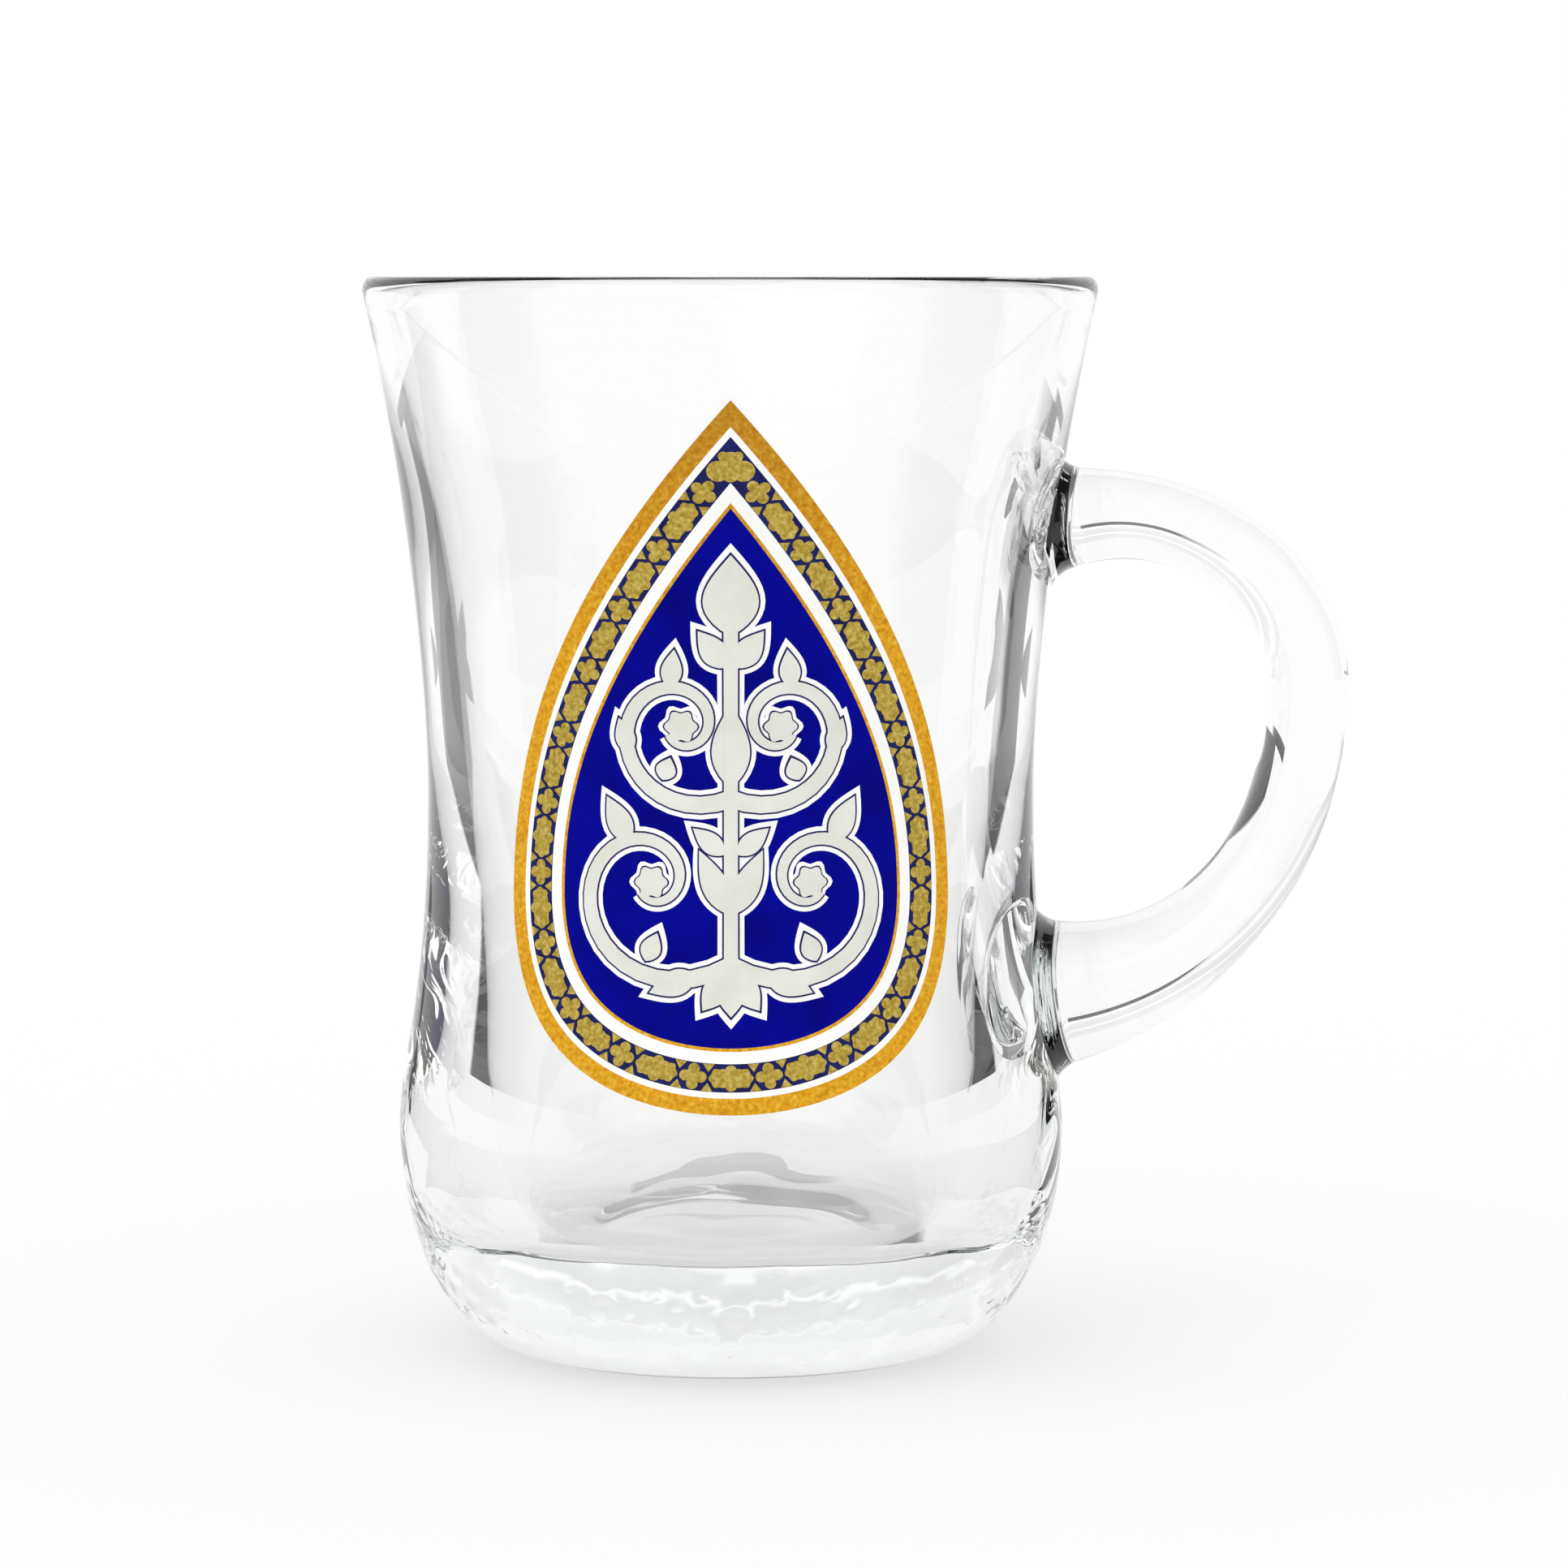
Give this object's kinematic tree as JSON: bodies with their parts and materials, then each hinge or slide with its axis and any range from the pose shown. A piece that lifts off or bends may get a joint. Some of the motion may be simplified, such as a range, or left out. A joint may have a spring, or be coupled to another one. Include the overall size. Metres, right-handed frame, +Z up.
{
  "type": "handled tea glass",
  "caption": "Waisted clear tea glass with a thick base, flared rim, solid D handle and a teardrop enamel medallion on its front.",
  "frame": {"origin": "on the axis of the body, at the level it stands on", "axes": "+Z up along the body's axis, +X towards the handle, -Y towards the medallion"},
  "size_m": [0.0942, 0.0698, 0.1023],
  "materials": {
    "clear_glass": "polished",
    "white_enamel": "satin",
    "blue_enamel": "gloss",
    "gold_enamel": "satin"
  },
  "bodies": {
    "root": {"glass_body": "clear_glass", "handle": "clear_glass", "print_gold_border": "gold_enamel", "print_white_line": "white_enamel", "print_blue_band": "blue_enamel", "print_white_band": "white_enamel", "print_gold_line": "gold_enamel", "print_blue_field": "blue_enamel", "print_white_ornament": "white_enamel"}
  },
  "joints": []
}
